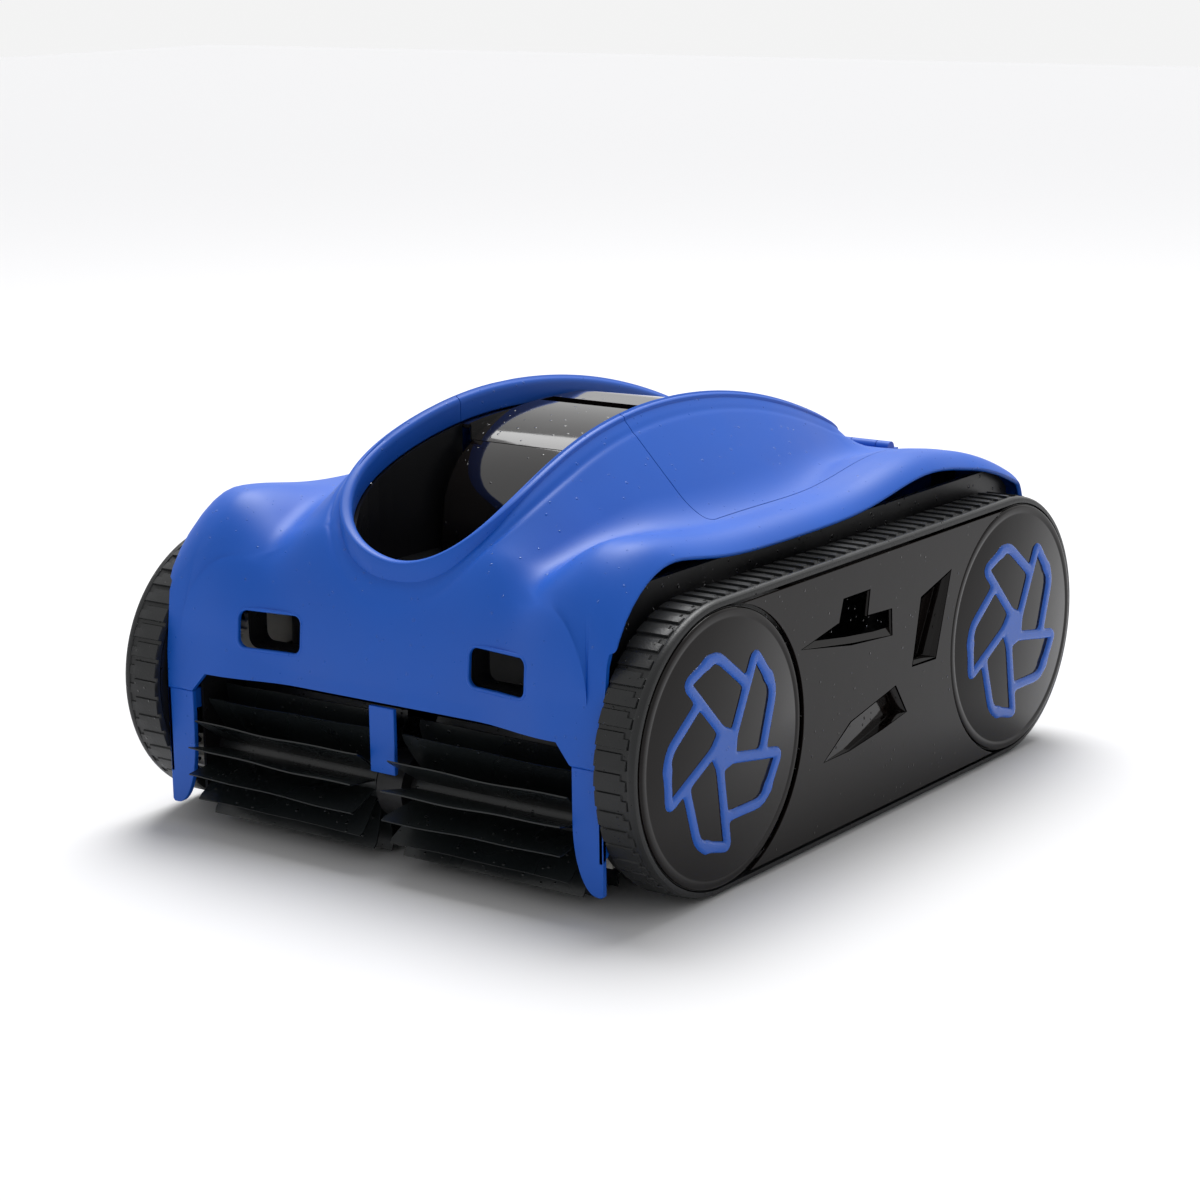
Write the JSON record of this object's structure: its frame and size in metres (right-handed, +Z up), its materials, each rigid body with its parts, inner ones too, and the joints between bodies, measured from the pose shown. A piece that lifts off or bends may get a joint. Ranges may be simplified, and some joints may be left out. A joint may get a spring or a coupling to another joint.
{
  "type": "robotic pool cleaner",
  "caption": "Cordless tracked pool cleaner with a blue shell, hand hoop, finned front brushes and a hinged filter lid.",
  "frame": {"origin": "on the ground under the middle of the machine", "axes": "-Y the front with the brushes, +X the right-hand side as seen from in front, +Z up"},
  "size_m": [0.4, 0.5228, 0.262],
  "materials": {
    "shell_blue": "satin blue ABS",
    "gloss_black": "polished black ABS",
    "matte_black": "textured black ABS",
    "belt_rubber": "moulded rubber",
    "brush_pvc": "soft PVC",
    "acetal": "natural acetal",
    "steel": "stainless steel",
    "housing_grey": "grey ABS",
    "battery_wrap": "moulded pack",
    "screen_mesh": "fine nylon mesh",
    "basket_grey": "grey polypropylene",
    "lens_clear": "clear lens",
    "seal_rubber": "soft rubber"
  },
  "bodies": {
    "chassis": {"top_shell": "shell_blue", "front_frame": "shell_blue", "rear_frame": "shell_blue", "lid_hinge_pins": "steel", "base_tray": "matte_black", "shell_screws": "steel", "recess_liner": "matte_black", "dome_lower": "gloss_black", "plate_screws": "steel", "axle_bushes": "acetal", "brush_rod": "steel", "battery_pack": "battery_wrap", "control_box": "housing_grey", "pump_motor": "housing_grey", "outlet_grille": "matte_black", "filter_basket": "basket_grey", "filter_mesh": "screen_mesh", "flap_pin": "steel", "button_base": "housing_grey", "status_lens": "lens_clear", "charge_port": "matte_black", "port_pin": "steel", "track_frame_right": "matte_black", "side_plate_right": "gloss_black", "track_belt_right": "belt_rubber", "drive_motor_right": "housing_grey", "track_frame_left": "matte_black", "side_plate_left": "gloss_black", "track_belt_left": "belt_rubber", "drive_motor_left": "housing_grey"},
    "lid": {"lid": "shell_blue", "dome_upper": "gloss_black"},
    "impeller": {"impeller": "acetal"},
    "inlet_flap": {"inlet_flap": "seal_rubber"},
    "power_button": {"power_button": "gloss_black"},
    "port_cover": {"port_cover": "seal_rubber"},
    "rear_wheel_right": {"rear_wheel_right": "matte_black", "rear_hub_cap_right": "gloss_black", "rear_pinwheel_right": "shell_blue", "rear_axle_right": "steel"},
    "front_wheel_right": {"front_wheel_right": "matte_black", "front_hub_cap_right": "gloss_black", "front_pinwheel_right": "shell_blue", "front_axle_right": "steel", "wheel_gear_right": "acetal"},
    "brush_right": {"brush_core_right": "matte_black", "brush_fins_right": "brush_pvc", "brush_gear_right": "acetal"},
    "rear_wheel_left": {"rear_wheel_left": "matte_black", "rear_hub_cap_left": "gloss_black", "rear_pinwheel_left": "shell_blue", "rear_axle_left": "steel"},
    "front_wheel_left": {"front_wheel_left": "matte_black", "front_hub_cap_left": "gloss_black", "front_pinwheel_left": "shell_blue", "front_axle_left": "steel", "wheel_gear_left": "acetal"},
    "brush_left": {"brush_core_left": "matte_black", "brush_fins_left": "brush_pvc", "brush_gear_left": "acetal"}
  },
  "joints": [
    {"name": "lid_hinge", "type": "hinge", "parent": "chassis", "child": "lid", "pos_m": [0, 0.212, 0.19286], "axis": [-1, 0, 0], "range_deg": [0, 75]},
    {"name": "rear_wheel_spin_right", "type": "hinge", "parent": "chassis", "child": "rear_wheel_right", "pos_m": [0.18, 0.173, 0.0885], "axis": [1, 0, 0], "continuous": true},
    {"name": "front_wheel_spin_right", "type": "hinge", "parent": "chassis", "child": "front_wheel_right", "pos_m": [0.18, -0.173, 0.0885], "axis": [1, 0, 0], "continuous": true},
    {"name": "brush_spin_right", "type": "hinge", "parent": "chassis", "child": "brush_right", "pos_m": [0.08, -0.21718, 0.045], "axis": [1, 0, 0], "continuous": true},
    {"name": "rear_wheel_spin_left", "type": "hinge", "parent": "chassis", "child": "rear_wheel_left", "pos_m": [-0.18, 0.173, 0.0885], "axis": [1, 0, 0], "continuous": true},
    {"name": "front_wheel_spin_left", "type": "hinge", "parent": "chassis", "child": "front_wheel_left", "pos_m": [-0.18, -0.173, 0.0885], "axis": [1, 0, 0], "continuous": true},
    {"name": "brush_spin_left", "type": "hinge", "parent": "chassis", "child": "brush_left", "pos_m": [-0.08, -0.21718, 0.045], "axis": [1, 0, 0], "continuous": true},
    {"name": "impeller_spin", "type": "hinge", "parent": "chassis", "child": "impeller", "pos_m": [0, 0.23, 0.125], "axis": [0, 1, 0], "continuous": true},
    {"name": "inlet_flap_hinge", "type": "hinge", "parent": "chassis", "child": "inlet_flap", "pos_m": [0, 0.023, 0.0195], "axis": [-1, 0, 0], "range_deg": [0, 50]},
    {"name": "power_button_travel", "type": "slide", "parent": "chassis", "child": "power_button", "axis": [0, -1, 0], "range_m": [0, 0.0015], "stiffness_N_per_m": 400},
    {"name": "port_cover_hinge", "type": "hinge", "parent": "chassis", "child": "port_cover", "pos_m": [-0.09, 0.2486, 0.1395], "axis": [1, 0, 0], "range_deg": [0, 110]}
  ],
  "couplings": [
    {"joint": "front_wheel_spin_right", "follows": "rear_wheel_spin_right", "ratio": 1},
    {"joint": "brush_spin_right", "follows": "rear_wheel_spin_right", "ratio": -1.8182},
    {"joint": "front_wheel_spin_left", "follows": "rear_wheel_spin_left", "ratio": 1},
    {"joint": "brush_spin_left", "follows": "rear_wheel_spin_left", "ratio": -1.8182}
  ]
}
